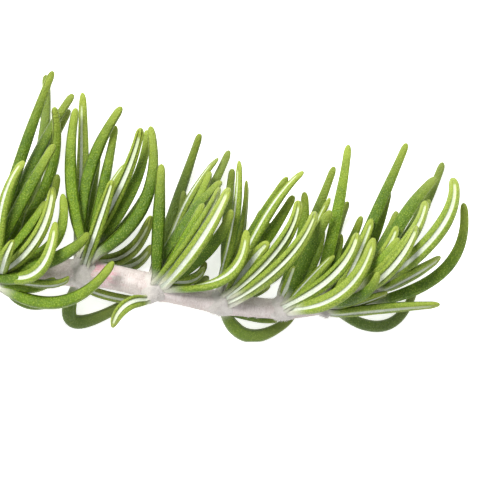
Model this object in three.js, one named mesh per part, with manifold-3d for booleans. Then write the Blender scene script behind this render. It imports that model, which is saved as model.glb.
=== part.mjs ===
// A cut sprig of rosemary that lies on its side: one woody, felted stem with tufts of narrow
// leaves at nine joints, all swept to the same side and toward the tip.
// Millimetres. X runs from the cut end to the tip, Y is the side that the leaves sweep to,
// Z is up from the surface that the sprig lies on.
import * as THREE from 'three';
import { mergeVertices } from 'three/addons/utils/BufferGeometryUtils.js';
import Module from 'manifold-3d';

const wasm = await Module();
wasm.setup();

// Where the sprig lies
const STEM_HEIGHT = 9; // the stem's centre line over the surface
const MIDDLE = { x: 31.6, y: 18.9 }; // centre of the sprig's outline, which becomes the origin
const FLAT_DEPTH = 0.32; // how far the lowest leaves are pressed flat

// Stem: centre line x, y and half thickness, from the cut to the growing tip
const CUT_END = [-30.0, 3.2, 2.4];
const JOINTS = [
  [-13.6, 4.2, 2.6], [-0.4, 4.8, 2.6], [16.6, 5.4, 2.5], [31.0, 2.6, 2.4], [44.4, -0.6, 2.1],
  [56.8, -1.8, 1.9], [65.0, -1.0, 1.6], [70.4, 0.8, 1.35], [75.0, 2.6, 1.05],
];
const STEM_END = [77.5, 4.2, 0.6];
const STEM_SIDES = 8;
const STEM_RINGS = 33;
const STEM_RIDGE = 0.07; // the four ridges, as a share of the half thickness
const SWELLING = { height: 0.35, reach: 0.16 }; // at each joint; reach in stretches between joints

// Joints whose leaves have grown together: each by itself, and the last two as the tip's rosette
const TUFT_JOINTS = [[0], [1], [2], [3], [4], [5], [6], [7, 8]];

// Leaf bases join round the stem in a low cushion at each joint
const CUSHION = { wall: 1.15, edge: 0.75, halfLength: 2.4, rings: 2 };
const CLEARANCE = 0.3; // between the cushion and the stem

// Leaf; the ones in front are the broader
const LEAF_WIDTH = { base: 1.8, perLength: 0.012, perRise: 0.06 };
const LEAF_THICKNESS = 0.58; // share of the width
const LEAF_STEPS = 5;
const TIP_RINGS = 0.85; // power that draws a leaf's rings toward its tip
const ROOT_SINK = 0.7; // from the stem's skin to where a leaf's middle line starts
const ROOT_SPREAD = 3.0; // along the stem at each joint
const SIDE_RISE = 6; // leaves that rise or sink this much start at the very top or bottom of the stem
const LEAF_SECTION = [[-1, 0.2], [-0.55, 1], [0, 0.15], [0.55, 1], [1, 0.2], [0, -1]];
const GOLDEN = 0.618; // spreads the leaves of a joint evenly, in no order

const BEND_RISE = 0.9; // share of its height that a leaf has reached at its bend

// How leaves are bent clear of each other
const CLEAR = {
  gap: 0.45, samples: 22, sweeps: 300, rate: 0.5, leastHold: 0.1, ownRoot: 0.2, ownStem: 0.25, ceiling: 13.5,
};
const SURFACE = { size: 400, depth: 40 };
const PROBE = 0.01; // a short step along the stem line, which is 1 long

// Leaves at each joint: middle x, y; tip x, y; height of the tip over the stem; the side that
// the leaf's felted underside faces, in degrees: 0 up, 90 right of the way it points; how much
// further round that side is at the root, on a twisted leaf; and how much broader the leaf is
const TUFTS = [
  [
    [4.3, 28.6, 10.6, 45.8, 0.0, -160], [7.0, 26.5, 8.5, 45.6, -9.4, 180],
    [6.0, 26.6, 14.4, 41.4, -3.0, 180], [6.6, 24.0, 13.6, 38.4, -5.0, 150],
    [9.4, 24.0, 10.8, 38.6, 0.5, 200], [5.4, 20.6, 11.2, 31.0, 4.0, 180],
    [1.4, 18.6, 5.4, 27.6, 6.0, -40], [7.8, 12.0, 10.6, 22.6, 8.0, 10],
    [8.8, 6.2, 11.6, 15.6, 9.0, -10], [10.6, 11.0, 12.6, 21.2, 4.0, 180],
    [8.0, 16.0, 11.4, 25.2, 2.0, -150], [2.0, 8.4, 3.6, 12.0, 9.0, 10],
    [5.4, 13.4, 9.2, 19.8, 5.0, 150], [5.0, 4.6, 9.0, 7.0, 7.0, 180],
    [9.6, 3.4, 14.2, 4.6, 6.0, 60], [12.6, -0.2, 23.0, 7.8, 5.5, 180],
    [5.0, -0.8, 11.4, -0.6, -5.0, 180], [11.8, 8.4, 18.0, 13.4, 7.0, 180],
    [6.2, 7.6, 11.0, 10.8, 5.0, 180], [3.0, 14.0, 5.6, 21.6, 1.0, 180],
    [6.4, 2.6, 11.4, 4.4, 5.5, 180], [1.0, 12.0, 2.6, 17.6, 3.0, 180],
  ],
  [
    [16.3, 25.0, 16.4, 41.6, -1.5, -35, 0, 0.5], [20.4, 22.0, 23.0, 35.0, -2.0, 190],
    [17.6, 25.0, 24.4, 38.6, 1.5, 170, 0, 0.3], [14.3, 23.0, 15.2, 38.4, 3.5, 180],
    [20.4, 16.4, 22.8, 23.8, 6.5, -5], [24.0, 22.0, 28.4, 34.2, 5.0, 0],
    [26.4, 22.0, 29.4, 34.0, 0.5, 160], [28.6, 18.4, 30.2, 34.6, 4.5, 180],
    [20.6, 19.0, 25.6, 27.6, -1.0, -60], [24.4, 13.4, 29.6, 20.4, 1.0, 180],
    [24.6, 8.8, 30.4, 16.8, -1.5, 0, 0, 0.7], [25.2, 6.6, 30.2, 11.0, -2.5, 0, 0, 0.4],
    [14.4, -4.5, 27.6, 0.8, -9.4, 200, 0, 0.8], [23.0, 0.4, 30.0, 0.0, -4.0, 30],
    [26.6, 17.0, 30.6, 26.4, -3.0, 180], [22.4, 11.4, 26.6, 16.6, -4.0, 180],
    [17.8, 18.0, 19.4, 29.0, -3.0, 180],
  ],
  [
    [34.8, 18.6, 40.0, 33.4, -9.4, 180], [31.9, 14.8, 32.5, 27.0, 6.0, 180],
    [39.2, 17.0, 45.8, 30.2, -2.0, 170], [36.8, 18.0, 43.6, 28.6, 2.0, -60],
    [37.6, 15.6, 42.0, 25.8, 3.5, 160], [37.8, 16.2, 44.2, 23.8, 5.5, 150],
    [37.2, 12.0, 40.7, 19.2, 6.5, 180], [38.4, 12.2, 44.0, 22.4, 7.5, 40],
    [40.4, 12.0, 45.8, 22.4, 10.5, 0], [41.2, 9.4, 46.4, 18.0, 6.0, -160],
    [37.4, 4.0, 40.8, 6.4, 4.0, 40], [45.0, 4.4, 49.2, 14.0, 9.0, -20, -110],
    [25.6, -1.0, 22.6, -5.4, 2.0, 20, 0, 0.5], [37.6, 4.0, 41.0, 7.6, -4.5, 20],
    [38.0, 3.0, 41.6, 4.6, -6.0, 180], [36.6, 13.0, 39.4, 21.6, -4.0, 180],
    [39.0, 9.6, 43.0, 15.6, -1.5, 180], [35.0, 12.0, 36.6, 22.0, -6.5, 180],
  ],
  [
    [47.0, 15.0, 47.8, 27.8, 3.5, -60], [45.4, 15.0, 46.5, 26.4, -4.0, 180],
    [48.0, 13.0, 49.3, 24.0, -1.0, 70], [53.2, 16.2, 60.6, 25.6, 5.0, -58],
    [51.2, 14.4, 57.5, 24.6, 1.0, -160], [49.4, 11.6, 52.5, 18.0, -2.0, 180],
    [53.4, 12.4, 58.7, 20.9, 2.5, 180], [55.4, 10.2, 59.5, 19.8, 8.5, 10],
    [57.0, 8.0, 62.9, 17.6, 11.0, 0], [50.0, 7.4, 53.7, 11.5, 6.5, 0, 0, 0.4],
    [49.4, 1.0, 54.0, 3.0, -3.0, 180], [53.0, 3.4, 57.2, 6.4, -4.5, 180],
    [49.8, -7.4, 59.0, -3.4, -9.4, 190, 0, 0.7], [51.4, -3.6, 55.6, -4.0, -5.5, 180],
    [50.4, 9.0, 54.4, 15.4, -5.0, 180], [47.2, 9.6, 48.8, 17.0, -6.0, 180],
  ],
  [
    [60.0, 11.0, 60.8, 21.6, 2.5, 180], [61.8, 9.8, 66.0, 17.8, 6.5, -165],
    [61.8, 13.4, 67.0, 26.8, -3.0, 170], [61.6, 10.6, 66.0, 20.4, 1.0, -60],
    [62.2, 4.2, 66.6, 8.9, 7.5, -60], [66.2, 5.0, 71.2, 13.4, 10.0, 0],
    [68.2, 2.0, 74.6, 12.4, 11.0, 0, 0, 0.3], [57.8, 3.6, 58.8, 6.8, 3.0, -10],
    [62.8, 7.6, 64.6, 14.4, -4.0, 180], [64.6, 5.2, 68.2, 10.6, -1.0, 180],
    [60.8, 5.0, 63.0, 10.6, -6.0, 180],
  ],
  [
    [66.8, 14.8, 69.6, 31.0, 2.0, 170], [66.6, 9.5, 69.8, 19.8, -9.4, 180],
    [66.6, 7.0, 68.2, 13.2, 1.0, 150], [70.8, 7.8, 74.4, 16.2, 6.0, 15],
    [69.0, 8.6, 72.4, 16.8, -1.5, 180], [76.6, -1.5, 87.6, -0.8, 3.5, 50, 0, 0.3],
    [77.0, -5.4, 83.6, 2.4, -9.4, 190, 0, 0.2], [72.0, 1.2, 74.9, 5.8, 8.0, 180, 0, -0.5],
    [73.0, 0.2, 77.2, 1.6, 5.0, 60], [69.6, 4.4, 72.2, 9.6, -4.0, 180],
    [66.4, 6.0, 67.0, 11.6, -5.5, 180],
  ],
  [
    [75.2, 17.2, 81.4, 31.4, 1.0, 165], [75.0, 12.5, 78.0, 22.0, -3.0, 180],
    [75.6, 8.0, 79.4, 14.8, 4.0, 0], [75.2, 6.8, 79.6, 12.4, 5.5, 160],
    [80.6, 11.2, 85.2, 19.8, 6.0, 0], [79.6, 4.8, 84.2, 9.5, -2.0, 180],
    [76.0, 10.0, 79.6, 17.8, -1.0, 180], [88.4, 5.6, 92.4, 19.4, 3.0, 190],
    [78.2, 7.2, 82.8, 14.8, 8.0, 0],
  ],
  [
    [83.0, 14.4, 89.2, 27.8, -9.4, 180], [80.8, 16.4, 87.6, 24.6, 2.0, 160, 0, 0.4],
    [87.0, 13.8, 90.4, 24.4, 6.0, 0, 0, 0.5], [82.0, 12.4, 86.2, 20.2, 0.5, 180],
    [82.0, 5.2, 87.8, 8.6, 4.5, 40, 0, 0.3], [78.8, 5.6, 80.6, 9.2, 2.5, 0],
    [79.6, 4.6, 82.0, 7.2, -0.5, 180], [78.0, 10.0, 82.0, 17.0, -5.0, 180],
  ],
];

// Finishes
const FELT = new THREE.MeshStandardMaterial({ color: 0xcdc3be, roughness: 0.95, metalness: 0 });
const GREEN = new THREE.MeshStandardMaterial({ color: 0x6f9230, roughness: 0.5, metalness: 0 });

// The oldest tuft grows by a formula: a fan of leaves, from low at the back to high in front
function oldestTuft() {
  const leaves = 13;
  const [x, y] = JOINTS[0];
  const rows = Array.from({ length: leaves }, (_, k) => {
    const spread = (k * GOLDEN) % 1;
    const steep = THREE.MathUtils.degToRad(66 + 28 * spread);
    const length = 30 - 12 * spread;
    const rise = -8.5 + (16.5 * k) / (leaves - 1);
    const tip = [x + length * Math.cos(steep), y + length * Math.sin(steep)];
    const bow = 0.1 * length;
    const middle = [(x + tip[0]) / 2 + bow * Math.sin(steep), (y + tip[1]) / 2 - bow * Math.cos(steep)];
    return [...middle, ...tip, rise, rise > 3 ? 0 : 180];
  });
  rows.push([x + 3, y - 9, x + 11, y - 8, -9.4, 190]);
  return rows;
}

// Stem line: u runs from 0 at the cut to 1 at the growing tip
const STEM_POINTS = [CUT_END, ...JOINTS, STEM_END];
const STRETCHES = STEM_POINTS.length - 1;
const stemLine = new THREE.CatmullRomCurve3(
  STEM_POINTS.map(([x, y]) => new THREE.Vector3(x, y, 0)), false, 'catmullrom', 0.5);

function stemRadius(u) {
  const place = u * STRETCHES;
  const from = Math.min(Math.floor(place), STRETCHES - 1);
  const plain = THREE.MathUtils.lerp(STEM_POINTS[from][2], STEM_POINTS[from + 1][2], place - from);
  const joint = THREE.MathUtils.clamp(Math.round(place), 1, JOINTS.length);
  return plain + SWELLING.height * Math.exp(-(((place - joint) / SWELLING.reach) ** 2));
}

// A straight bar of the given section, bent and sized by place(x, y, t), with t from 0 to 1
function bentBar(section, steps, place) {
  const shape = new THREE.Shape(section.map(([x, y]) => new THREE.Vector2(x, y)));
  const bar = new THREE.ExtrudeGeometry(shape, { depth: 1, steps, bevelEnabled: false });
  bar.deleteAttribute('normal');
  bar.deleteAttribute('uv');
  const merged = mergeVertices(bar);
  const at = merged.getAttribute('position');
  for (let i = 0; i < at.count; i += 1) {
    const point = place(at.getX(i), at.getY(i), at.getZ(i));
    at.setXYZ(i, point.x, point.y, point.z);
  }
  return merged;
}

function toSolid(geometry) {
  return new wasm.Manifold(new wasm.Mesh({
    numProp: 3,
    vertProperties: new Float32Array(geometry.getAttribute('position').array),
    triVerts: new Uint32Array(geometry.index.array),
  }));
}

function toGeometry(solid) {
  const mesh = solid.getMesh();
  const geometry = new THREE.BufferGeometry();
  geometry.setAttribute('position', new THREE.BufferAttribute(mesh.vertProperties, 3));
  geometry.setIndex(new THREE.BufferAttribute(mesh.triVerts, 1));
  return geometry;
}

// A round or ridged bar along the stem, between two places on it
function alongStem(from, to, rings, ridge, radiusAt) {
  const section = Array.from({ length: STEM_SIDES }, (_, k) => {
    const turn = (2 * Math.PI * k) / STEM_SIDES;
    const reach = 1 + ridge * Math.cos(4 * turn);
    return [reach * Math.cos(turn), reach * Math.sin(turn)];
  });
  return bentBar(section, rings, (x, y, t) => {
    const u = THREE.MathUtils.lerp(from, to, t);
    const centre = stemLine.getPoint(u);
    const ahead = stemLine.getTangent(u);
    const radius = radiusAt(u, t);
    const side = new THREE.Vector3(-ahead.y, ahead.x, 0);
    return centre.addScaledVector(side, x * radius).setZ(y * radius);
  });
}

// Leaf middle lines, each a quadratic curve from its root through its middle to its tip
function layLeaves() {
  const leaves = [];
  [oldestTuft(), ...TUFTS].forEach((rows, joint) => {
    const [x, y, radius] = JOINTS[joint];
    const foot = new THREE.Vector2(x, y);
    const before = STEM_POINTS[joint];
    const after = STEM_POINTS[joint + 2];
    const norm = new THREE.Vector2(before[1] - after[1], after[0] - before[0]).normalize();
    rows.forEach(([mx, my, tx, ty, rise, felt, twist = 0, broader = 0], k) => {
      const middle = new THREE.Vector2(mx, my);
      const tip = new THREE.Vector2(tx, ty);
      const lift = THREE.MathUtils.clamp(rise / SIDE_RISE, -1, 1);
      const side = middle.clone().sub(foot).dot(norm) > 0 ? 1 : -1;
      const flat = Math.sqrt(1 - lift * lift) * (radius + ROOT_SINK);
      const along = ROOT_SPREAD * (((k * GOLDEN) % 1) - 0.5);
      const root = foot.clone().addScaledVector(norm, side * flat);
      root.add(new THREE.Vector2(norm.y, -norm.x).multiplyScalar(along));
      const length = middle.distanceTo(root) + tip.distanceTo(middle);
      const bend = middle.clone().multiplyScalar(2).addScaledVector(root, -0.5).addScaledVector(tip, -0.5);
      const usual = LEAF_WIDTH.base + LEAF_WIDTH.perLength * length + LEAF_WIDTH.perRise * Math.max(rise, 0);
      leaves.push({
        joint, rise, felt: THREE.MathUtils.degToRad(felt), twist: THREE.MathUtils.degToRad(twist),
        width: usual + broader,
        root: new THREE.Vector3(root.x, root.y, lift * (radius + ROOT_SINK)),
        bend: new THREE.Vector3(bend.x, bend.y, BEND_RISE * rise),
        tip: new THREE.Vector3(tip.x, tip.y, rise),
      });
    });
  });
  return leaves;
}

function shares(t) {
  return [(1 - t) ** 2, 2 * t * (1 - t), t * t];
}

// Share of the full width along the leaf: narrow foot, even blade, blunt round tip
function taper(t) {
  return Math.min(1, 0.5 + 2 * t) * Math.min(1, Math.sqrt((1.03 - t) * 9));
}

// Half of the leaf's reach at t: across the picture plane, and up and down
function halfReach(leaf, t) {
  const across = (leaf.width / 2) * taper(t);
  const thick = LEAF_THICKNESS * across;
  const [sin, cos] = [Math.sin(leaf.felt), Math.cos(leaf.felt)];
  return { flat: Math.hypot(across * cos, thick * sin), up: Math.hypot(across * sin, thick * cos) };
}

function sameTuft(one, other) {
  return TUFT_JOINTS.some((joints) => joints.includes(one.joint) && joints.includes(other.joint));
}

function leafPoint(leaf, t) {
  return new THREE.QuadraticBezierCurve3(leaf.root, leaf.bend, leaf.tip).getPoint(t);
}

// Seen from above the leaves stay where they are. Where two would meet, the one that lies in
// front is raised and the other lowered, by as much as clears them, and none sinks into the
// surface or the stem.
function bendClear(leaves) {
  const points = leaves.map((leaf) => Array.from({ length: CLEAR.samples }, (_, k) => {
    const t = (k + 1) / CLEAR.samples;
    return { leaf, t, at: leafPoint(leaf, t), ...halfReach(leaf, t) };
  }));
  const needed = (distance, reach, height) =>
    (distance < reach ? height * Math.cbrt(1 - (distance / reach) ** 3) : 0);
  const rules = [];
  leaves.forEach((one, i) => leaves.slice(i + 1).forEach((other, n) => {
    const pair = [points[i], points[i + 1 + n]];
    const [front, back] = one.rise >= other.rise ? pair : pair.reverse();
    for (const p of front) {
      for (const q of back) {
        if (sameTuft(one, other) && Math.min(p.t, q.t) < CLEAR.ownRoot) continue;
        const distance = Math.hypot(p.at.x - q.at.x, p.at.y - q.at.y);
        const need = needed(distance, p.flat + q.flat + CLEAR.gap, p.up + q.up + CLEAR.gap);
        if (need > 0) rules.push({ front: p, back: q, need });
      }
    }
  }));
  for (const row of points) {
    for (const p of row) {
      for (let k = 0; k < STRETCHES; k += 1) {
        const own = k === p.leaf.joint || k === p.leaf.joint + 1;
        if (own && p.t < CLEAR.ownStem) continue;
        const [a, b] = [STEM_POINTS[k], STEM_POINTS[k + 1]];
        const run = new THREE.Vector2(b[0] - a[0], b[1] - a[1]);
        const from = new THREE.Vector2(p.at.x - a[0], p.at.y - a[1]);
        const share = THREE.MathUtils.clamp(from.dot(run) / run.lengthSq(), 0, 1);
        const radius = THREE.MathUtils.lerp(a[2], b[2], share) + CUSHION.wall;
        const distance = from.addScaledVector(run, -share).length();
        const need = needed(distance, radius + p.flat + CLEAR.gap, radius + p.up + CLEAR.gap);
        if (need > 0) rules.push(p.leaf.rise >= 0 ? { front: p, need } : { back: p, need });
      }
    }
  }
  const height = (p) => {
    if (!p) return 0;
    const [root, bend, tip] = shares(p.t);
    return root * p.leaf.root.z + bend * p.leaf.bend.z + tip * p.leaf.tip.z;
  };
  const hold = (p) => (p ? shares(p.t)[1] ** 2 + shares(p.t)[2] ** 2 : 0);
  const push = (p, amount) => {
    if (!p) return;
    const [, bend, tip] = shares(p.t);
    p.leaf.bend.z += amount * bend;
    p.leaf.tip.z += amount * tip;
  };
  for (let sweep = 0; sweep < CLEAR.sweeps; sweep += 1) {
    for (const { front, back, need } of rules) {
      const lack = need - (height(front) - height(back));
      const weight = hold(front) + hold(back);
      if (lack > 0 && weight > CLEAR.leastHold) {
        push(front, (CLEAR.rate * lack) / weight);
        push(back, (-CLEAR.rate * lack) / weight);
      }
    }
    for (const p of points.flat()) {
      const lack = p.up - FLAT_DEPTH - STEM_HEIGHT - height(p);
      const excess = height(p) + p.up - CLEAR.ceiling;
      if (lack > 0 && hold(p) > CLEAR.leastHold) push(p, lack / hold(p));
      if (excess > 0) push(p, -excess / hold(p));
    }
  }
}

// One leaf: a narrow blade with a ridge on top and its edges rolled under
function leafSolid(leaf) {
  const line = new THREE.QuadraticBezierCurve3(leaf.root, leaf.bend, leaf.tip);
  const up = new THREE.Vector3(0, 0, 1);
  const geometry = bentBar(LEAF_SECTION, LEAF_STEPS, (x, y, step) => {
    const t = step ** TIP_RINGS;
    const ahead = line.getTangent(t);
    const above = up.clone().addScaledVector(ahead, -up.dot(ahead)).normalize();
    const right = new THREE.Vector3().crossVectors(ahead, above);
    const felt = leaf.felt + leaf.twist * (1 - t) ** 2;
    const under = above.multiplyScalar(Math.cos(felt)).addScaledVector(right, Math.sin(felt));
    const across = new THREE.Vector3().crossVectors(under, ahead);
    const half = (leaf.width / 2) * taper(t);
    return line.getPoint(t).addScaledVector(across, x * half)
      .addScaledVector(under, y * half * LEAF_THICKNESS);
  });
  return toSolid(geometry);
}

function cushionSolid(joint) {
  const centre = (joint + 1) / STRETCHES;
  const end = (step) => {
    const stepLength = stemLine.getPoint(centre + step).distanceTo(stemLine.getPoint(centre));
    return Math.min(1, centre + (step * CUSHION.halfLength) / stepLength);
  };
  return toSolid(alongStem(end(-PROBE), end(PROBE), CUSHION.rings, 0, (u, t) =>
    stemRadius(u) + THREE.MathUtils.lerp(CUSHION.edge, CUSHION.wall, Math.sin(Math.PI * t))));
}

function largestBody(solid) {
  return solid.decompose().reduce((best, body) => (body.volume() > best.volume() ? body : best));
}

const group = new THREE.Group();
group.position.set(-MIDDLE.x, -MIDDLE.y, STEM_HEIGHT);

const stem = new THREE.Mesh(alongStem(0, 1, STEM_RINGS, STEM_RIDGE, stemRadius), FELT);
stem.name = 'stem';
group.add(stem);

const stemWithRoom = toSolid(alongStem(0, 1, STEM_RINGS, STEM_RIDGE, (u) => stemRadius(u) + CLEARANCE));
const ground = new THREE.BoxGeometry(SURFACE.size, SURFACE.size, SURFACE.depth);
ground.translate(0, 0, -STEM_HEIGHT - SURFACE.depth / 2);
ground.deleteAttribute('normal');
ground.deleteAttribute('uv');
const surface = toSolid(mergeVertices(ground));

const leaves = layLeaves();
bendClear(leaves);
TUFT_JOINTS.forEach((joints, k) => {
  const blades = leaves.filter((leaf) => joints.includes(leaf.joint)).map(leafSolid);
  const grown = wasm.Manifold.union([...joints.map(cushionSolid), ...blades]);
  const tuft = largestBody(grown.subtract(stemWithRoom).subtract(surface));
  const mesh = new THREE.Mesh(toGeometry(tuft), GREEN);
  mesh.name = `leaf_tuft_${k + 1}`;
  group.add(mesh);
});

export default group;
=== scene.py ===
"""A cut sprig of rosemary on a pale surface, seen from straight above."""
import math
import random
from collections import namedtuple

import bmesh
import bpy
from mathutils import Euler, Matrix, Quaternion, Vector, noise


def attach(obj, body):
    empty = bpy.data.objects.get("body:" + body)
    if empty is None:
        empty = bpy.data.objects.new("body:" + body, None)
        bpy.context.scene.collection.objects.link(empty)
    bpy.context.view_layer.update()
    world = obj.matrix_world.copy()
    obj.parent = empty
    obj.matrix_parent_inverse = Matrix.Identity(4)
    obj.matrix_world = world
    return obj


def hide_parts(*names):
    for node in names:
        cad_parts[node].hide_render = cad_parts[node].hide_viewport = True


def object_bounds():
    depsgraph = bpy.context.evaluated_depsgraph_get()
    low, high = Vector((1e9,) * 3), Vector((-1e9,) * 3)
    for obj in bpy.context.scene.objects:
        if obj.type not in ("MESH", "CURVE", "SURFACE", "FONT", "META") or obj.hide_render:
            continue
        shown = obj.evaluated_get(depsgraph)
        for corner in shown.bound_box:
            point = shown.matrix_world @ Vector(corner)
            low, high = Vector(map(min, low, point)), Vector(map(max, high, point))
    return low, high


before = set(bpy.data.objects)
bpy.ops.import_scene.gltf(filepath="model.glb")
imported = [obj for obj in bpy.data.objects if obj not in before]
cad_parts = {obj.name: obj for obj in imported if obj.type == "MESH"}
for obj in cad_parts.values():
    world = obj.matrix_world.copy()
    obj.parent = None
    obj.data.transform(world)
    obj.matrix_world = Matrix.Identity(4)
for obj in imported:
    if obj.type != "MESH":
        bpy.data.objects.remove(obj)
cad_box = [list(corner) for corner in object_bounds()]
MM = 0.001

# Camera: straight down on the lying sprig, from far enough that near and far leaves keep their
# size. The picture takes in 96 mm of it, and the stem's older end runs out of the frame.
PICTURE_WIDTH = 96 * MM
PICTURE_MIDDLE = Vector((16.4 * MM, -6.9 * MM, 9 * MM))
LENS, SENSOR = 200.0, 36.0
camera_data = bpy.data.cameras.new("camera")
camera_data.lens = LENS
camera_data.sensor_width = SENSOR
camera_data.clip_start = 0.01
camera = bpy.data.objects.new("camera", camera_data)
camera.location = PICTURE_MIDDLE + Vector((0, 0, PICTURE_WIDTH * LENS / SENSOR))
bpy.context.scene.collection.objects.link(camera)
bpy.context.scene.camera = camera

# Stem: young wood under a short greyish-white felt, with four low ridges, swollen at each joint
# where the leaves grow out of it. It was cut across at its older end, outside the picture.
# Each place along it is x, y and radius, in millimetres; MIDDLE is where the frame's zero lies,
# and the stem's centre line runs STEM_HEIGHT over the table.
MIDDLE = Vector((31.6, 18.9, 0))
STEM_HEIGHT = 9.0
CUT_END = (-30.0, 3.2, 2.4)
JOINTS = [
    (-13.6, 4.2, 2.6), (-0.4, 4.8, 2.6), (16.6, 5.4, 2.5), (31.0, 2.6, 2.4), (44.4, -0.6, 2.1),
    (56.8, -1.8, 1.9), (65.0, -1.0, 1.6), (70.4, 0.8, 1.35), (75.0, 2.6, 1.05),
]
STEM_END = (77.5, 4.2, 0.6)
STEM_POINTS = [CUT_END, *JOINTS, STEM_END]
STRETCHES = len(STEM_POINTS) - 1
STEM_SIDES, STEM_RINGS = 32, 220
RIDGES, RIDGE_SHARE = 4, 0.06
SWELLING_HEIGHT, SWELLING_REACH = 0.35, 0.16
# Lumps of the felt: their height, and how many there are to the millimetre
STEM_LUMPS, STEM_SINK = [(0.09, 0.9), (0.05, 2.4)], 0.08


def place(point):
    """A point of the sprig, in millimetres from the stem's own zero, set down in the frame: on the
    table and not outside the CAD's box."""
    spot = (point - MIDDLE + Vector((0, 0, STEM_HEIGHT))) * MM
    return Vector([min(max(value, low), high) for value, low, high in zip(spot, *cad_box)])


def stem_at(u):
    """The stem's centre and direction, from u = 0 at the cut to 1 at the growing tip."""
    along = min(max(u, 0), 1) * STRETCHES
    k = min(int(along), STRETCHES - 1)
    t = along - k
    points = [Vector((x, y, 0)) for x, y, _ in STEM_POINTS]
    first = points[k - 1] if k else 2 * points[0] - points[1]
    last = points[k + 2] if k + 2 <= STRETCHES else 2 * points[-1] - points[-2]
    a, b = points[k], points[k + 1]
    pull_a, pull_b = (b - first) / 2, (last - a) / 2
    c3, c2 = 2 * a - 2 * b + pull_a + pull_b, -3 * a + 3 * b - 2 * pull_a - pull_b
    centre = ((c3 * t + c2) * t + pull_a) * t + a
    ahead = (3 * c3 * t + 2 * c2) * t + pull_a
    return centre, ahead.normalized()


def stem_radius(u):
    along = u * STRETCHES
    k = min(int(along), STRETCHES - 1)
    plain = STEM_POINTS[k][2] + (STEM_POINTS[k + 1][2] - STEM_POINTS[k][2]) * (along - k)
    joint = min(max(round(along), 1), len(JOINTS))
    return plain + SWELLING_HEIGHT * math.exp(-(((along - joint) / SWELLING_REACH) ** 2))


def new_piece(name, made, finishes, replaces=()):
    """Turns a bmesh into a smooth piece of the sprig that rides on its one body."""
    bmesh.ops.recalc_face_normals(made, faces=made.faces)
    for face in made.faces:
        face.smooth = True
    mesh = bpy.data.meshes.new(name)
    made.to_mesh(mesh)
    made.free()
    for finish in finishes:
        mesh.materials.append(finish)
    piece = bpy.data.objects.new(name, mesh)
    bpy.context.scene.collection.objects.link(piece)
    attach(piece, "root")
    if replaces:
        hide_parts(*replaces)


def straight_rod(name, sides, rings, notes):
    """A straight closed rod of unit size, to be bent: the angle of a vertex tells its turn round
    the rod and its height its place along it. Notes are values that the finish reads."""
    made = bmesh.new()
    bmesh.ops.create_cone(made, cap_ends=True, segments=sides, radius1=1, radius2=1, depth=1)
    lengthwise = [edge for edge in made.edges if edge.verts[0].co.z * edge.verts[1].co.z < 0]
    bmesh.ops.subdivide_edges(made, edges=lengthwise, cuts=rings - 2, use_grid_fill=True)
    for note in notes:
        made.verts.layers.float.new(note)
    rod = bpy.data.meshes.new(name)
    made.to_mesh(rod)
    made.free()
    return rod


def grow(made, rod, bent):
    """Adds a bent copy of a rod: bent(turn, t) gives the place of a vertex, in millimetres, and
    its notes, with turn and t both from 0 to 1."""
    first = len(made.verts)
    made.from_mesh(rod)
    made.verts.ensure_lookup_table()
    notes = made.verts.layers.float.values()
    for vertex in made.verts[first:]:
        turn = (math.atan2(vertex.co.y, vertex.co.x) / (2 * math.pi)) % 1
        where, *values = bent(turn, min(max(vertex.co.z + 0.5, 0), 1))
        vertex.co = place(where)
        for note, value in zip(notes, values):
            vertex[note] = value


def round_stem(u, turn, radius):
    """A place at that distance from the stem's centre line."""
    centre, ahead = stem_at(u)
    side = Vector((-ahead.y, ahead.x, 0))
    angle = 2 * math.pi * turn
    return centre + radius * (side * math.cos(angle) + Vector((0, 0, 1)) * math.sin(angle))


def uneven(where, lumps):
    """How far its lumps lift the felt there, in millimetres."""
    return sum(height * noise.noise(where * closeness) for height, closeness in lumps)


def stem_skin(turn, t):
    radius = stem_radius(t) * (1 + RIDGE_SHARE * math.cos(2 * math.pi * RIDGES * turn))
    where = round_stem(t, turn, radius)
    return round_stem(t, turn, radius + uneven(where, STEM_LUMPS) - STEM_SINK), t, turn


stem_rod = straight_rod("stem_rod", STEM_SIDES, STEM_RINGS, ("along", "turn"))
made = bmesh.new()
grow(made, stem_rod, stem_skin)
for face in made.faces:
    is_end = len(face.verts) > 4
    if is_end and face.calc_center_median().x < 0:
        face.material_index = 1


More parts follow.
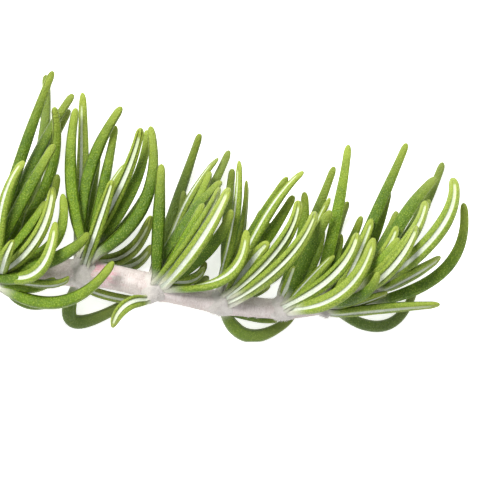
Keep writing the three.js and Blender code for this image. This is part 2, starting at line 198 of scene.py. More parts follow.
class Socket:
    """A shader value that Python's own signs work on."""

    # Numbers of the Mix node's sockets for colours, which share their names with others
    MIX_FACTOR, MIX_FIRST, MIX_SECOND, MIX_RESULT = 0, 6, 7, 2

    def __init__(self, tree, out):
        self.tree, self.out = tree, out

    def node(self, kind, settings=None, inputs=(), pick=0):
        """A node of that kind with these settings and inputs, and the output that is picked."""
        made = self.tree.nodes.new(kind)
        for name, value in (settings or {}).items():
            if name == "stops":
                ramp = made.color_ramp
                while len(ramp.elements) < len(value):
                    ramp.elements.new(0.5)
                for stop, (at, colour) in zip(ramp.elements, value):
                    stop.position, stop.color = at, (*colour, 1)
            else:
                setattr(made, name, value)
        pairs = inputs.items() if isinstance(inputs, dict) else enumerate(inputs)
        for name, value in pairs:
            slot = made.inputs[name]
            if isinstance(value, Socket):
                self.tree.links.new(value.out, slot)
            else:
                is_colour = slot.type == "RGBA" and len(value) == 3
                slot.default_value = (*value, 1) if is_colour else value
        return Socket(self.tree, made.outputs[pick])

    def _math(self, operation, first, second):
        return self.node("ShaderNodeMath", {"operation": operation}, (first, second))

    def __add__(self, other):
        return self._math("ADD", self, other)

    __radd__ = __add__

    def __sub__(self, other):
        return self._math("SUBTRACT", self, other)

    def __rsub__(self, other):
        return self._math("SUBTRACT", other, self)

    def __mul__(self, other):
        return self._math("MULTIPLY", self, other)

    __rmul__ = __mul__

    def step(self, low, high):
        """0 below low, 1 above high, and smooth between."""
        soft = {"interpolation_type": "SMOOTHSTEP"}
        return self.node("ShaderNodeMapRange", soft, (self, low, high, 0, 1))

    def mix(self, first, second):
        """first where this is 0, second where it is 1."""
        colours = {self.MIX_FACTOR: self, self.MIX_FIRST: first, self.MIX_SECOND: second}
        return self.node("ShaderNodeMix", {"data_type": "RGBA"}, colours, self.MIX_RESULT)

    def clouds(self, scale, detail=3.0):
        """Soft random clouds at this place, about scale of them to its unit."""
        pattern = {"Vector": self, "Scale": scale, "Detail": detail}
        return self.node("ShaderNodeTexNoise", None, pattern)

    def bump(self, strength, distance):
        """The small relief that this height makes, distance metres deep."""
        relief = {"Strength": strength, "Distance": distance, "Height": self}
        return self.node("ShaderNodeBump", None, relief)

    def note(self, name):
        """A value that the mesh carries at each vertex."""
        return self.node("ShaderNodeAttribute", {"attribute_name": name}, pick="Fac")


def new_finish(name):
    finish = bpy.data.materials.new(name)
    finish.use_nodes = True
    return finish


def place_on(finish):
    """The place on the piece, in metres, that its shader is asked for."""
    return Socket(finish.node_tree, None).node("ShaderNodeTexCoord", pick="Object")


def set_looks(finish, **looks):
    """Links or sets the inputs of the finish's surface shader, named with _ for each space."""
    surface = finish.node_tree.nodes["Principled BSDF"]
    for name, value in looks.items():
        slot = surface.inputs[name.replace("_", " ")]
        if isinstance(value, Socket):
            finish.node_tree.links.new(value.out, slot)
        else:
            slot.default_value = value


# The felt's colours and the brown of painted shade on its side away from the lamp, how fast its
# streaks and fine rings change along and round the stem, the clouds of its fuzz and their relief,
# and its lack of gloss
FELT_GREY, FELT_PALE, FELT_HAIR = (0.47, 0.40, 0.385), (0.61, 0.545, 0.53), (0.76, 0.72, 0.70)
ROSY, SHADED_SIDE_BROWN, BLUSH_RED = (0.60, 0.43, 0.42), (0.42, 0.34, 0.30), (0.56, 0.24, 0.30)
RING_BROWN, SPECK_BROWN = (0.36, 0.27, 0.25), (0.34, 0.26, 0.22)
STREAKS_ALONG, STREAKS_ROUND = 40, 14
RINGS_ALONG, RINGS_ROUND = 900, 5
FUZZ, FELT_RELIEF = (4200.0, 4.0), (0.8, 0.00015)
FELT_ROUGHNESS, FELT_SHEEN = 0.95, 0.15
BLUSH_MIDDLE, BLUSH_CORE, BLUSH_EDGE = Vector((20.5, 5.4, 2.6)), 1.0 * MM, 4.5 * MM

felt = new_finish("stem_felt")
here = place_on(felt)
along, turn = here.note("along"), here.note("turn")
streaks = here.node("ShaderNodeCombineXYZ", None, (along * STREAKS_ALONG, turn * STREAKS_ROUND, 0))
streak = streaks.clouds(1.0)
rings = here.node("ShaderNodeCombineXYZ", None, (along * RINGS_ALONG, turn * RINGS_ROUND, 0))
ring = rings.clouds(1.0, 2.0)
blotch = here.clouds(260.0)
fuzz = here.clouds(*FUZZ)
specks = here.clouds(1900.0, 2.0)
from_blush = (here, place(BLUSH_MIDDLE))
blush = here.node("ShaderNodeVectorMath", {"operation": "DISTANCE"}, from_blush, pick="Value")
colour = (blotch * 0.6 + streak * 0.4).step(0.36, 0.62).mix(FELT_GREY, FELT_PALE)
colour = (streak.step(0.55, 0.75) * 0.5).mix(colour, ROSY)
# Painted shade: from past the top round to the underside, the stem's side away from the lamp is
# darkened brown; seen from above it is the stem's lower edge.
colour = (turn.step(0.34, 0.50) * 0.45).mix(colour, SHADED_SIDE_BROWN)
blushing = (1 - blush.step(BLUSH_CORE, BLUSH_EDGE)) * streak.step(0.35, 0.60)
colour = blushing.mix(colour, BLUSH_RED)
colour = (fuzz.step(0.45, 0.75) * 0.6).mix(colour, FELT_HAIR)
colour = (ring.step(0.52, 0.72) * blotch * 0.9).mix(colour, RING_BROWN)
colour = (specks.step(0.62, 0.72) * 0.55).mix(colour, SPECK_BROWN)
bump = (fuzz * 0.7 + streak * 0.6 + ring * 0.4).bump(*FELT_RELIEF)
set_looks(felt, Base_Color=colour, Normal=bump, Roughness=FELT_ROUGHNESS, Sheen_Weight=FELT_SHEEN)

# The cut, from its middle outward: two shades of pith, two of wood, the green layer, the bark
CUT_STOPS = [
    (0.0, (0.50, 0.47, 0.30)), (0.24, (0.48, 0.44, 0.27)), (0.34, (0.60, 0.52, 0.33)),
    (0.80, (0.50, 0.42, 0.24)), (0.88, (0.16, 0.20, 0.05)), (0.97, (0.30, 0.24, 0.18)),
]
GRAIN_BROWN = (0.34, 0.27, 0.16)

cut_wood = new_finish("cut_wood")
here = place_on(cut_wood)
cut_middle = place(Vector((CUT_END[0], CUT_END[1], 0)))
centred = here.node("ShaderNodeMapping", None, {"Vector": here, "Location": tuple(-cut_middle)})
flat = here.node("ShaderNodeVectorMath", {"operation": "MULTIPLY"}, (centred, (0, 1, 1)))
radius = here.node("ShaderNodeVectorMath", {"operation": "LENGTH"}, (flat,), pick="Value")
wood = here.node("ShaderNodeValToRGB", {"stops": CUT_STOPS}, (radius * (1 / (CUT_END[2] * MM)),))
grain = here.clouds(5200.0, 4.0)
colour = (grain * 0.5).mix(wood, GRAIN_BROWN)
set_looks(cut_wood, Base_Color=colour, Normal=grain.bump(0.5, 0.0001), Roughness=0.85)

new_piece("stem_wood", made, [felt, cut_wood], ["stem"])

# Leaves: narrow leathery blades, dark green and finely wrinkled above, felted white underneath
# between edges that roll under. They grow from the joints and all sweep up and toward the tip.
# First the room of the collars round the stem, a leaf's size, and how it leaves the stem and rises
WALL = 1.15
LEAF_WIDTH, WIDTH_PER_LENGTH, WIDTH_PER_RISE = 1.8, 0.012, 0.06
LEAF_THICKNESS = 0.58
FOOT_SHARE, FOOT_WIDENS, TIP_ENDS, TIP_NARROWS = 0.5, 2, 1.03, 9
ROOT_SINK, ROOT_SPREAD, SIDE_RISE, BEND_RISE = 0.7, 3.0, 6, 0.9
FLAT_DEPTH = 0.32
# The room that is kept between leaves, and how they are pushed apart until they have it
CLEAR_GAP, CLEAR_SAMPLES, CLEAR_SWEEPS, CLEAR_RATE, LEAST_HOLD = 0.45, 22, 300, 0.5, 0.1
OWN_ROOT, OWN_STEM, CEILING, SQUARENESS = 0.2, 0.25, 13.5, 3
GOLDEN = 0.618
TUFT_JOINTS = [[0], [1], [2], [3], [4], [5], [6], [7, 8]]
# Leaves at each joint: middle x, y; tip x, y; height of the tip over the stem; the side that the
# felted underside faces, in degrees: 0 up, 90 right of the way it points; how much further round
# that side is at the root, on a twisted leaf; and how much broader the leaf is than most
TUFTS = [
    [
        [4.3, 28.6, 10.6, 45.8, 0.0, -160], [7.0, 26.5, 8.5, 45.6, -9.4, 180],
        [6.0, 26.6, 14.4, 41.4, -3.0, 180], [6.6, 24.0, 13.6, 38.4, -5.0, 150],
        [9.4, 24.0, 10.8, 38.6, 0.5, 200], [5.4, 20.6, 11.2, 31.0, 4.0, 180],
        [1.4, 18.6, 5.4, 27.6, 6.0, -40], [7.8, 12.0, 10.6, 22.6, 8.0, 10],
        [8.8, 6.2, 11.6, 15.6, 9.0, -10], [10.6, 11.0, 12.6, 21.2, 4.0, 180],
        [8.0, 16.0, 11.4, 25.2, 2.0, -150], [2.0, 8.4, 3.6, 12.0, 9.0, 10],
        [5.4, 13.4, 9.2, 19.8, 5.0, 150], [5.0, 4.6, 9.0, 7.0, 7.0, 180],
        [9.6, 3.4, 14.2, 4.6, 6.0, 60], [12.6, -0.2, 23.0, 7.8, 5.5, 180],
        [5.0, -0.8, 11.4, -0.6, -5.0, 180], [11.8, 8.4, 18.0, 13.4, 7.0, 180],
        [6.2, 7.6, 11.0, 10.8, 5.0, 180], [3.0, 14.0, 5.6, 21.6, 1.0, 180],
        [6.4, 2.6, 11.4, 4.4, 5.5, 180], [1.0, 12.0, 2.6, 17.6, 3.0, 180],
    ],
    [
        [16.3, 25.0, 16.4, 41.6, -1.5, -35, 0, 0.5], [20.4, 22.0, 23.0, 35.0, -2.0, 190],
        [17.6, 25.0, 24.4, 38.6, 1.5, 170, 0, 0.3], [14.3, 23.0, 15.2, 38.4, 3.5, 180],
        [20.4, 16.4, 22.8, 23.8, 6.5, -5], [24.0, 22.0, 28.4, 34.2, 5.0, 0],
        [26.4, 22.0, 29.4, 34.0, 0.5, 160], [28.6, 18.4, 30.2, 34.6, 4.5, 180],
        [20.6, 19.0, 25.6, 27.6, -1.0, -60], [24.4, 13.4, 29.6, 20.4, 1.0, 180],
        [24.6, 8.8, 30.4, 16.8, -1.5, 0, 0, 0.7], [25.2, 6.6, 30.2, 11.0, -2.5, 0, 0, 0.4],
        [14.4, -4.5, 27.6, 0.8, -9.4, 200, 0, 0.8], [23.0, 0.4, 30.0, 0.0, -4.0, 30],
        [26.6, 17.0, 30.6, 26.4, -3.0, 180], [22.4, 11.4, 26.6, 16.6, -4.0, 180],
        [17.8, 18.0, 19.4, 29.0, -3.0, 180],
    ],
    [
        [34.8, 18.6, 40.0, 33.4, -9.4, 180], [31.9, 14.8, 32.5, 27.0, 6.0, 180],
        [39.2, 17.0, 45.8, 30.2, -2.0, 170], [36.8, 18.0, 43.6, 28.6, 2.0, -60],
        [37.6, 15.6, 42.0, 25.8, 3.5, 160], [37.8, 16.2, 44.2, 23.8, 5.5, 150],
        [37.2, 12.0, 40.7, 19.2, 6.5, 180], [38.4, 12.2, 44.0, 22.4, 7.5, 40],
        [40.4, 12.0, 45.8, 22.4, 10.5, 0], [41.2, 9.4, 46.4, 18.0, 6.0, -160],
        [37.4, 4.0, 40.8, 6.4, 4.0, 40], [45.0, 4.4, 49.2, 14.0, 9.0, -20, -110],
        [25.6, -1.0, 22.6, -5.4, 2.0, 20, 0, 0.5], [37.6, 4.0, 41.0, 7.6, -4.5, 20],
        [38.0, 3.0, 41.6, 4.6, -6.0, 180], [36.6, 13.0, 39.4, 21.6, -4.0, 180],
        [39.0, 9.6, 43.0, 15.6, -1.5, 180], [35.0, 12.0, 36.6, 22.0, -6.5, 180],
    ],
    [
        [47.0, 15.0, 47.8, 27.8, 3.5, -60], [45.4, 15.0, 46.5, 26.4, -4.0, 180],
        [48.0, 13.0, 49.3, 24.0, -1.0, 70], [53.2, 16.2, 60.6, 25.6, 5.0, -58],
        [51.2, 14.4, 57.5, 24.6, 1.0, -160], [49.4, 11.6, 52.5, 18.0, -2.0, 180],
        [53.4, 12.4, 58.7, 20.9, 2.5, 180], [55.4, 10.2, 59.5, 19.8, 8.5, 10],
        [57.0, 8.0, 62.9, 17.6, 11.0, 0], [50.0, 7.4, 53.7, 11.5, 6.5, 0, 0, 0.4],
        [49.4, 1.0, 54.0, 3.0, -3.0, 180], [53.0, 3.4, 57.2, 6.4, -4.5, 180],
        [49.8, -7.4, 59.0, -3.4, -9.4, 190, 0, 0.7], [51.4, -3.6, 55.6, -4.0, -5.5, 180],
        [50.4, 9.0, 54.4, 15.4, -5.0, 180], [47.2, 9.6, 48.8, 17.0, -6.0, 180],
    ],
    [
        [60.0, 11.0, 60.8, 21.6, 2.5, 180], [61.8, 9.8, 66.0, 17.8, 6.5, -165],
        [61.8, 13.4, 67.0, 26.8, -3.0, 170], [61.6, 10.6, 66.0, 20.4, 1.0, -60],
        [62.2, 4.2, 66.6, 8.9, 7.5, -60], [66.2, 5.0, 71.2, 13.4, 10.0, 0],
        [68.2, 2.0, 74.6, 12.4, 11.0, 0, 0, 0.3], [57.8, 3.6, 58.8, 6.8, 3.0, -10],
        [62.8, 7.6, 64.6, 14.4, -4.0, 180], [64.6, 5.2, 68.2, 10.6, -1.0, 180],
        [60.8, 5.0, 63.0, 10.6, -6.0, 180],
    ],
    [
        [66.8, 14.8, 69.6, 31.0, 2.0, 170], [66.6, 9.5, 69.8, 19.8, -9.4, 180],
        [66.6, 7.0, 68.2, 13.2, 1.0, 150], [70.8, 7.8, 74.4, 16.2, 6.0, 15],
        [69.0, 8.6, 72.4, 16.8, -1.5, 180], [76.6, -1.5, 87.6, -0.8, 3.5, 50, 0, 0.3],
        [77.0, -5.4, 83.6, 2.4, -9.4, 190, 0, 0.2], [72.0, 1.2, 74.9, 5.8, 8.0, 180, 0, -0.5],
        [73.0, 0.2, 77.2, 1.6, 5.0, 60], [69.6, 4.4, 72.2, 9.6, -4.0, 180],
        [66.4, 6.0, 67.0, 11.6, -5.5, 180],
    ],
    [
        [75.2, 17.2, 81.4, 31.4, 1.0, 165], [75.0, 12.5, 78.0, 22.0, -3.0, 180],
        [75.6, 8.0, 79.4, 14.8, 4.0, 0], [75.2, 6.8, 79.6, 12.4, 5.5, 160],
        [80.6, 11.2, 85.2, 19.8, 6.0, 0], [79.6, 4.8, 84.2, 9.5, -2.0, 180],
        [76.0, 10.0, 79.6, 17.8, -1.0, 180], [88.4, 5.6, 92.4, 19.4, 3.0, 190],
        [78.2, 7.2, 82.8, 14.8, 8.0, 0],
    ],
    [
        [83.0, 14.4, 89.2, 27.8, -9.4, 180], [80.8, 16.4, 87.6, 24.6, 2.0, 160, 0, 0.4],
        [87.0, 13.8, 90.4, 24.4, 6.0, 0, 0, 0.5], [82.0, 12.4, 86.2, 20.2, 0.5, 180],
        [82.0, 5.2, 87.8, 8.6, 4.5, 40, 0, 0.3], [78.8, 5.6, 80.6, 9.2, 2.5, 0],
        [79.6, 4.6, 82.0, 7.2, -0.5, 180], [78.0, 10.0, 82.0, 17.0, -5.0, 180],
    ],
]
# The fan of leaves outside the picture: how many, their angle in degrees, length, bow and height,
# and the height from which their felted side shows
FAN_LEAVES, FAN_ANGLE, FAN_OPENS = 13, 66, 28
FAN_LONGEST, FAN_SHORTENS, FAN_BOW = 30, 12, 0.1
FAN_LOWEST, FAN_HIGHEST, FELT_SHOWS = -8.5, 8.0, 3


def oldest_tuft():
    """The tuft outside the picture: a fan of leaves, from low at the back to high in front, and
    one leaf on the stem's other side."""
    x, y, _ = JOINTS[0]
    rows = []
    for k in range(FAN_LEAVES):
        spread = (k * GOLDEN) % 1
        steep = math.radians(FAN_ANGLE + FAN_OPENS * spread)
        length = FAN_LONGEST - FAN_SHORTENS * spread
        rise = FAN_LOWEST + (FAN_HIGHEST - FAN_LOWEST) * k / (FAN_LEAVES - 1)
        tip = (x + length * math.cos(steep), y + length * math.sin(steep))
        bow = FAN_BOW * length
        middle_x = (x + tip[0]) / 2 + bow * math.sin(steep)
        middle_y = (y + tip[1]) / 2 - bow * math.cos(steep)
        rows.append([middle_x, middle_y, *tip, rise, 0 if rise > FELT_SHOWS else 180])
    rows.append([x + 3, y - 9, x + 11, y - 8, -9.4, 190])
    return rows


class Leaf:
    """A leaf's middle line, a quadratic curve from its root through its middle to its tip."""

    def __init__(self, joint, k, row):
        middle_x, middle_y, tip_x, tip_y, self.rise, felt_side, twist, broader = (*row, 0, 0)[:8]
        self.joint, self.felt, self.twist = joint, math.radians(felt_side), math.radians(twist)
        foot, radius = Vector(JOINTS[joint][:2]), JOINTS[joint][2]
        before, after = STEM_POINTS[joint], STEM_POINTS[joint + 2]
        norm = Vector((before[1] - after[1], after[0] - before[0])).normalized()
        middle, tip = Vector((middle_x, middle_y)), Vector((tip_x, tip_y))
        lift = min(max(self.rise / SIDE_RISE, -1), 1)
        side = 1 if (middle - foot).dot(norm) > 0 else -1
        root = foot + norm * side * math.sqrt(1 - lift * lift) * (radius + ROOT_SINK)
        root += Vector((norm.y, -norm.x)) * ROOT_SPREAD * (((k * GOLDEN) % 1) - 0.5)
        self.length = (middle - root).length + (tip - middle).length
        self.width = LEAF_WIDTH + WIDTH_PER_LENGTH * self.length
        self.width += WIDTH_PER_RISE * max(self.rise, 0)
        self.width += broader
        bend_at = 2 * middle - (root + tip) / 2
        self.root = Vector((*root, lift * (radius + ROOT_SINK)))
        self.bend = Vector((*bend_at, BEND_RISE * self.rise))
        self.tip = Vector((*tip, self.rise))

    def at(self, t):
        return self.root * (1 - t) ** 2 + self.bend * 2 * t * (1 - t) + self.tip * t * t

    def ahead(self, t):
        return ((self.bend - self.root) * (1 - t) + (self.tip - self.bend) * t).normalized()

    def reach(self, t):
        """Half of the leaf's reach: across the picture, and up and down."""
        across = self.width / 2 * min(1, FOOT_SHARE + FOOT_WIDENS * t)
        across *= min(1, math.sqrt((TIP_ENDS - t) * TIP_NARROWS))
        thick = LEAF_THICKNESS * across
        sin, cos = math.sin(self.felt), math.cos(self.felt)
        return math.hypot(across * cos, thick * sin), math.hypot(across * sin, thick * cos)


# A spot on a leaf: the leaf's number, how far along it, its place, and half the leaf's reach there
Spot = namedtuple("Spot", "leaf t x y across up")


def clear_rules(leaves):
    """All spots of leaves, and every pair of them, or spot and stem, that would meet: the upper
    one, the lower one and the height that has to lie between them. None stands for the stem."""
    def needed(distance, reach, height):
        if distance >= reach:
            return 0
        return height * (1 - (distance / reach) ** SQUARENESS) ** (1 / SQUARENESS)

    spots = []
    for i, leaf in enumerate(leaves):
        for k in range(CLEAR_SAMPLES):
            t = (k + 1) / CLEAR_SAMPLES
            where = leaf.at(t)
            spots.append(Spot(i, t, where.x, where.y, *leaf.reach(t)))
    rows = [spots[i * CLEAR_SAMPLES:(i + 1) * CLEAR_SAMPLES] for i in range(len(leaves))]
    tuft = {joint: k for k, joints in enumerate(TUFT_JOINTS) for joint in joints}
    rules = []
    for i, one in enumerate(leaves):
        for j in range(i + 1, len(leaves)):
            other = leaves[j]
            front, back = (rows[i], rows[j]) if one.rise >= other.rise else (rows[j], rows[i])
            same = tuft[one.joint] == tuft[other.joint]
            for p in front:
                for q in back:
                    if same and min(p.t, q.t) < OWN_ROOT:
                        continue
                    reach = p.across + q.across + CLEAR_GAP
                    if abs(p.x - q.x) >= reach or abs(p.y - q.y) >= reach:
                        continue
                    apart = math.hypot(p.x - q.x, p.y - q.y)
                    need = needed(apart, reach, p.up + q.up + CLEAR_GAP)
                    if need > 0:
                        rules.append((p, q, need))
    for p in spots:
        leaf = leaves[p.leaf]
        for k in range(STRETCHES):
            if k in (leaf.joint, leaf.joint + 1) and p.t < OWN_STEM:
                continue
            (x, y, radius), (end_x, end_y, end_radius) = STEM_POINTS[k], STEM_POINTS[k + 1]
            run, start_to = Vector((end_x - x, end_y - y)), Vector((p.x - x, p.y - y))
            share = min(max(start_to.dot(run) / run.length_squared, 0), 1)
            room = radius + (end_radius - radius) * share + WALL + CLEAR_GAP
            need = needed((start_to - run * share).length, room + p.across, room + p.up)
            if need > 0:
                rules.append((p, None, need) if leaf.rise >= 0 else (None, p, need))
    return spots, rules


def bend_clear(leaves):
    """Seen from above the leaves stay where they are. Where two would meet, the one in front is
    raised and the other lowered, and none sinks into the surface or the stem."""
    spots, rules = clear_rules(leaves)
    bend_z = [leaf.bend.z for leaf in leaves]
    tip_z = [leaf.tip.z for leaf in leaves]

    def hold(spot):
        """The spot's leaf, its height from the root, its shares of bend and tip, their weight."""
        if spot is None:
            return 0, 0.0, 0.0, 0.0, 0.0
        bend_share, tip_share = 2 * spot.t * (1 - spot.t), spot.t * spot.t
        from_root = (1 - spot.t) ** 2 * leaves[spot.leaf].root.z
        return spot.leaf, from_root, bend_share, tip_share, bend_share ** 2 + tip_share ** 2

    held = []
    for upper, lower, need in rules:
        upper_hold, lower_hold = hold(upper), hold(lower)
        if upper_hold[-1] + lower_hold[-1] > LEAST_HOLD:
            held.append((*upper_hold, *lower_hold, need))
    edges = [(*hold(p), p.up - FLAT_DEPTH - STEM_HEIGHT, CEILING - p.up) for p in spots]
    for _ in range(CLEAR_SWEEPS):
        for i, base, pb, pt, pw, j, other, qb, qt, qw, need in held:
            upper_z = base + pb * bend_z[i] + pt * tip_z[i]
            lack = need - upper_z + other + qb * bend_z[j] + qt * tip_z[j]
            if lack > 0:
                push = CLEAR_RATE * lack / (pw + qw)
                bend_z[i] += push * pb
                tip_z[i] += push * pt
                bend_z[j] -= push * qb
                tip_z[j] -= push * qt
        for i, base, pb, pt, pw, low, high in edges:
            height = base + pb * bend_z[i] + pt * tip_z[i]
            lack, excess = low - height, height - high
            if lack > 0 and pw > LEAST_HOLD:
                bend_z[i] += lack / pw * pb
                tip_z[i] += lack / pw * pt
            if excess > 0:
                bend_z[i] -= excess / pw * pb
                tip_z[i] -= excess / pw * pt
    for leaf, bend_height, tip_height in zip(leaves, bend_z, tip_z):
        leaf.bend.z, leaf.tip.z = bend_height, tip_height


leaves = [Leaf(joint, k, row) for joint, rows in enumerate([oldest_tuft(), *TUFTS])
          for k, row in enumerate(rows)]
bend_clear(leaves)

# One side of the leaf's section, from the middle of the arched upper side (y -1) round the
# rolled edge to the midrib that shows between the edges (y 1), and how much felt is on it
HALF_SECTION = [
    (0.00, -0.86, 0), (0.12, -0.93, 0), (0.40, -0.90, 0), (0.68, -0.70, 0), (0.90, -0.36, 0),
    (1.00, 0.08, 0), (0.97, 0.50, 0), (0.85, 0.82, 0), (0.64, 0.96, 0), (0.44, 0.92, 0.1),
    (0.33, 0.78, 0.5), (0.26, 0.62, 1), (0.13, 0.62, 1), (0.00, 0.70, 1),
]
LEAF_SECTION = HALF_SECTION + [(-x, y, felted) for x, y, felted in HALF_SECTION[-2:0:-1]]
LEAF_RINGS = 34
# Along the leaf, from 0 at its foot to 1: how broad it is, where it closes to a point, and how far
# its foot bends down into the joint, in millimetres
FOOT_BREADTH, BREADTH_GAIN, BROAD_FROM = 0.68, 0.38, 0.3
TAPER, TAPER_FROM = 0.34, 0.5
FLARE, FLARE_ENDS = 0.3, (0.02, 0.12)
FOOT_OPENS, TIP_CLOSES, FELT_STOPS, CLOSED_DEPTH = (0, 0.06), (0.90, 0.97), (0.88, 0.95), 0.9
ROUND_END, BLUNT_END = 0.8, 0.12
FOOT_DROP, DROP_REACH = 1.5, 0.14
RINGS_TO_TIP = 0.85
# What differs from leaf to leaf: its twist in degrees, and the breadth of its stripe of felt
MOST_TWIST, STRIPE_LEAST, STRIPE_MOST = 14, 0.6, 1.0


def smooth(value, low, high):
    share = min(max((value - low) / (high - low), 0), 1)
    return share * share * (3 - 2 * share)


def leaf_skin(leaf):
    """The bent blade of a leaf, with a twist, a breadth of stripe and a shade of its own."""
    draw = random.Random(f"{leaf.joint} {leaf.tip.x:.1f} {leaf.tip.y:.1f}")
    twist = math.radians(draw.uniform(-MOST_TWIST, MOST_TWIST))
    shade = draw.random()
    stripe = draw.uniform(STRIPE_LEAST, STRIPE_MOST)
    round_end = ROUND_END * leaf.width
    inward = (Vector((*JOINTS[leaf.joint][:2], 0)) - leaf.root).normalized()

    def skin(turn, t):
        across, depth, felted = LEAF_SECTION[round(turn * len(LEAF_SECTION)) % len(LEAF_SECTION)]
        if felted > 0:
            across *= stripe
        t = t + RINGS_TO_TIP * t * (1 - t)
        ahead = leaf.ahead(t)
        above = (Vector((0, 0, 1)) - ahead.z * ahead).normalized()
        right = ahead.cross(above)
        felt_side = leaf.felt + leaf.twist * (1 - t) ** 2 + twist * (t - 0.5)
        under = above * math.cos(felt_side) + right * math.sin(felt_side)
        sideways = under.cross(ahead)
        half = leaf.width / 2 * (FOOT_BREADTH + BREADTH_GAIN * smooth(t, 0, BROAD_FROM))
        half *= 1 - TAPER * smooth(t, TAPER_FROM, 1)
        half += FLARE * (1 - smooth(t, *FLARE_ENDS))
        left = min((1 - t) * leaf.length / round_end, 1)
        half *= BLUNT_END + (1 - BLUNT_END) * math.sqrt(1 - (1 - left) ** 2)
        closed = max(smooth(t, *TIP_CLOSES), 1 - smooth(t, *FOOT_OPENS))
        if depth > 0:
            full = math.sqrt(max(1 - across * across, 0))
            depth += (CLOSED_DEPTH * full - depth) * closed
        where = leaf.at(t) + sideways * across * half + under * depth * half * LEAF_THICKNESS
        where += inward * FOOT_DROP * (1 - min(t / DROP_REACH, 1)) ** 2
        return where, t, felted * (1 - smooth(t, *FELT_STOPS)), depth, shade

    return skin


LEAF_NOTES = ("along", "felt", "depth", "shade")
leaf_rod = straight_rod("leaf_rod", len(LEAF_SECTION), LEAF_RINGS, LEAF_NOTES)

# Colours of the upper side with painted highlights on its wrinkles, of the rolled edges, paler
# partly of their own and partly by a painted glow of light through them, of the tip and the foot,
# of painted shade on leaves low by the table, and of the felt underneath; then the heights of that
# painted shade
DARK_GREEN, LIGHT_GREEN, GLEAM = (0.060, 0.124, 0.002), (0.145, 0.245, 0.006), (0.37, 0.44, 0.07)
EDGE_DARK, EDGE_LIGHT = (0.165, 0.250, 0.015), (0.275, 0.350, 0.045)
TIP_GREEN, LOW_SHADE_GREEN, FOOT_PALE = (0.34, 0.40, 0.055), (0.110, 0.150, 0.034), (0.56, 0.55, 0.47)
WOOL_GREY, WOOL_WHITE, WOOL_TIP = (0.47, 0.52, 0.40), (0.68, 0.72, 0.62), (0.50, 0.58, 0.24)
SHADE_STARTS_BELOW, SHADE_FULL_BELOW = 8 * MM, 1 * MM

blade = new_finish("leaf_blade")
here = place_on(blade)
along, felted, depth, shade = (here.note(name) for name in LEAF_NOTES)
patches = here.clouds(420.0)
grain = here.clouds(3800.0)
cells = here.node("ShaderNodeTexVoronoi", {"feature": "F1"}, {"Vector": here, "Scale": 3100.0})
height = here.node("ShaderNodeSeparateXYZ", None, (here,), pick="Z")
upper = (patches * 0.8 + shade * 0.5).step(0.35, 0.95).mix(DARK_GREEN, LIGHT_GREEN)
edge = (grain * 0.5 + shade * 0.5).mix(EDGE_DARK, EDGE_LIGHT)
# The rolled edges take the paler edge greens: partly their own paler colour, partly a painted glow
# of light shining through the thin edge.
colour = (depth + patches * 0.6).step(-0.3, 0.9).mix(upper, edge)
# Painted shade: the grooves between the wrinkles' bumps, at the cells' borders, are darkened.
colour = (cells.step(0.35, 0.75) * 0.45).mix(colour, DARK_GREEN)
# Painted highlights: small glints are painted on the tops of the wrinkles' bumps.
colour = ((1 - cells.step(0.10, 0.42)) * grain * 1.1).mix(colour, GLEAM)
colour = ((along + patches * 0.2).step(0.65, 1.25) * 0.7).mix(colour, TIP_GREEN)
# Painted shade: leaf surface low by the table is darkened, fully below 1 mm and fading out by 8 mm
# up.
colour = ((1 - height.step(SHADE_FULL_BELOW, SHADE_STARTS_BELOW)) * 0.55).mix(colour, LOW_SHADE_GREEN)
colour = (1 - along.step(0.02, 0.18)).mix(colour, FOOT_PALE)
wool = (grain * 0.7 + patches * 0.3).step(0.3, 0.7).mix(WOOL_GREY, WOOL_WHITE)
wool = (along.step(0.55, 0.95) * 0.6).mix(wool, WOOL_TIP)
colour = (felted + grain * 0.3).step(0.25, 1.0).mix(colour, wool)
bump = ((1 - cells) * (1 - felted) * 0.9 + grain * (0.3 + felted * 0.7)).bump(0.9, 0.0002)
matt = 0.46 + felted * 0.5
set_looks(blade, Base_Color=colour, Roughness=matt, Normal=bump, Specular_IOR_Level=0.3)

for k, joints in enumerate(TUFT_JOINTS):
    made = bmesh.new()
    for leaf in leaves:
        if leaf.joint in joints:
            grow(made, leaf_rod, leaf_skin(leaf))
    new_piece(f"leaf_blades_{k + 1}", made, [blade], [f"leaf_tuft_{k + 1}"])

# Joint felt: where the leaves leave the stem their pale feet grow together into a low collar
# round it, under the same short felt as the stem, with a lump over the foot of each leaf.
COLLAR_SIDES, COLLAR_RINGS = 48, 30
HALF_COLLAR, LEAST_COLLAR, COLLAR_SINK = 2.4, 0.18, 0.12
LUMP_HEIGHT, LUMP_REACH, LUMP_LEVEL, FOOT_AT = 1.2, 1.3, 0.5, 0.04
COLLAR_LUMPS = [(0.12, 1.1), (0.07, 3.1)]
SWELL_BREADTH, SWELL_EDGE = 4, 1.5
COLLAR_GREY, COLLAR_PALE = (0.44, 0.41, 0.385), (0.55, 0.515, 0.49)
COLLAR_HAIR = (0.65, 0.62, 0.60)
collar_rod = straight_rod("collar_rod", COLLAR_SIDES, COLLAR_RINGS, ())


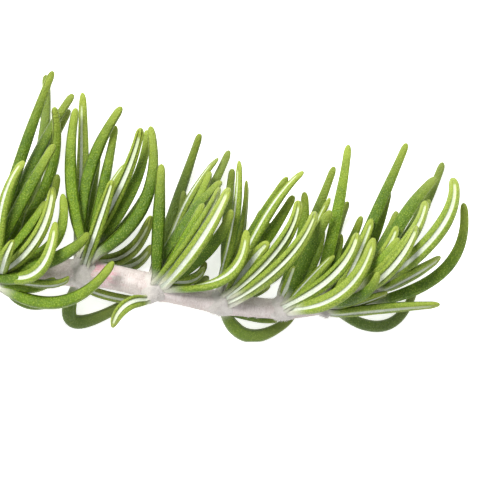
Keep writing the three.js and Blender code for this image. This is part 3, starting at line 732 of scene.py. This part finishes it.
def collar_skin(joint):
    """The collar of a joint, HALF_COLLAR to both sides of it and thickest over the leaves' feet."""
    middle = (joint + 1) / STRETCHES
    step = 0.01
    per_step = (stem_at(middle + step)[0] - stem_at(middle - step)[0]).length / 2
    half = step * HALF_COLLAR / per_step
    feet = [leaf.at(FOOT_AT) for leaf in leaves if leaf.joint == joint]

    def skin(turn, t):
        u = min(middle + (2 * t - 1) * half, 1)
        where = round_stem(u, turn, stem_radius(u) + LUMP_LEVEL)
        lump = max(math.exp(-((where - foot).length / LUMP_REACH) ** 2) for foot in feet)
        thick = LEAST_COLLAR + LUMP_HEIGHT * lump + uneven(where, COLLAR_LUMPS)
        swell = (1 - (2 * t - 1) ** SWELL_BREADTH) ** SWELL_EDGE
        return [round_stem(u, turn, stem_radius(u) - COLLAR_SINK + thick * swell)]

    return skin


collar_felt = new_finish("collar_felt")
here = place_on(collar_felt)
fuzz = here.clouds(*FUZZ)
colour = here.clouds(420.0).step(0.35, 0.65).mix(COLLAR_GREY, COLLAR_PALE)
colour = (fuzz.step(0.45, 0.75) * 0.5).mix(colour, COLLAR_HAIR)
set_looks(collar_felt, Base_Color=colour, Normal=fuzz.bump(*FELT_RELIEF),
          Roughness=FELT_ROUGHNESS, Sheen_Weight=FELT_SHEEN)

for k, joints in enumerate(TUFT_JOINTS):
    made = bmesh.new()
    for joint in joints:
        grow(made, collar_rod, collar_skin(joint))
    new_piece(f"joint_collar_{k + 1}", made, [collar_felt], [f"leaf_tuft_{k + 1}"])

# Down: short whitish hairs stand off the stem and the collars, in small loose locks, and make
# their outline look soft. A lock is made once and stood on the felt in many places.
LOCK_HAIRS, HAIR_LENGTH, SHORTEST, HAIR_THICKNESS, POINTED = 10, 0.42, 0.5, 0.022, 4
LOCK_SPREAD, LEAN = 0.4, 0.8
STEM_LOCKS, COLLAR_LOCKS = 520, 80
FULL_TURN, COLLAR_EDGE = 6.3, 0.12
DOWN_WHITE = (0.68, 0.65, 0.62, 1)
draw = random.Random("down")
lock_maker = bmesh.new()
for _ in range(LOCK_HAIRS):
    spot = Vector((draw.uniform(-1, 1), draw.uniform(-1, 1), 0)) * LOCK_SPREAD
    lean = Euler((draw.uniform(-LEAN, LEAN), draw.uniform(-LEAN, LEAN), 0)).to_matrix().to_4x4()
    length = HAIR_LENGTH * draw.uniform(SHORTEST, 1)
    stand = Matrix.Translation(spot) @ lean @ Matrix.Translation((0, 0, length / 2))
    bmesh.ops.create_cone(
        lock_maker, segments=3, radius1=HAIR_THICKNESS, radius2=HAIR_THICKNESS / POINTED,
        depth=length, matrix=stand)
lock = bpy.data.meshes.new("lock")
lock_maker.to_mesh(lock)
lock_maker.free()


def add_lock(made, foot, centre):
    """Stands a lock on the skin at foot, pointing away from the stem's centre."""
    spin = Quaternion((0, 0, 1), draw.uniform(0, FULL_TURN))
    turned = (foot - centre).to_track_quat("Z", "Y") @ spin
    first = len(made.verts)
    made.from_mesh(lock)
    made.verts.ensure_lookup_table()
    for vertex in made.verts[first:]:
        vertex.co = place(foot + turned @ vertex.co)


made = bmesh.new()
for _ in range(STEM_LOCKS):
    u, turn = draw.random(), draw.random()
    add_lock(made, stem_skin(turn, u)[0], stem_at(u)[0])
for joint in range(len(JOINTS)):
    skin = collar_skin(joint)
    for _ in range(COLLAR_LOCKS):
        foot = skin(draw.random(), draw.uniform(COLLAR_EDGE, 1 - COLLAR_EDGE))[0]
        add_lock(made, foot, Vector((*JOINTS[joint][:2], 0)))

down = new_finish("down")
set_looks(down, Base_Color=DOWN_WHITE, Roughness=0.8)
new_piece("down", made, [down])

# Surface and light: a white table, lit softly from all round and a little more from the upper
# left by one broad lamp.
FLOOR_SIZE, FLOOR_WHITE, FLOOR_GLOW = 2.0, (0.95, 0.95, 0.95, 1), 0.6
SKY, SKY_STRENGTH = (0.97, 0.99, 1.0, 1), 0.7
LAMP_PLACE, LAMP_SIZE, LAMP_POWER = Vector((-0.50, 0.65, 1.20)), 0.7, 30.0
LAMP_COLOUR = (1.0, 0.99, 0.96)
floor_maker = bmesh.new()
bmesh.ops.create_grid(floor_maker, x_segments=1, y_segments=1, size=FLOOR_SIZE)
floor_mesh = bpy.data.meshes.new("floor")
floor_maker.to_mesh(floor_mesh)
floor_maker.free()
floor = bpy.data.objects.new("floor", floor_mesh)
bpy.context.scene.collection.objects.link(floor)
white = new_finish("white_table")
set_looks(white, Base_Color=FLOOR_WHITE, Roughness=0.9, Emission_Color=(1, 1, 1, 1),
          Emission_Strength=FLOOR_GLOW)
floor_mesh.materials.append(white)

world = bpy.data.worlds.new("studio")
world.use_nodes = True
world.node_tree.nodes["Background"].inputs["Color"].default_value = SKY
world.node_tree.nodes["Background"].inputs["Strength"].default_value = SKY_STRENGTH
bpy.context.scene.world = world

lamp_data = bpy.data.lights.new("overhead", "AREA")
lamp_data.shape = "DISK"
lamp_data.size = LAMP_SIZE
lamp_data.energy = LAMP_POWER
lamp_data.color = LAMP_COLOUR
lamp = bpy.data.objects.new("overhead", lamp_data)
lamp.location = LAMP_PLACE
lamp.rotation_euler = (PICTURE_MIDDLE - LAMP_PLACE).to_track_quat("-Z", "Y").to_euler()
bpy.context.scene.collection.objects.link(lamp)
bpy.context.scene.view_settings.view_transform = "Standard"
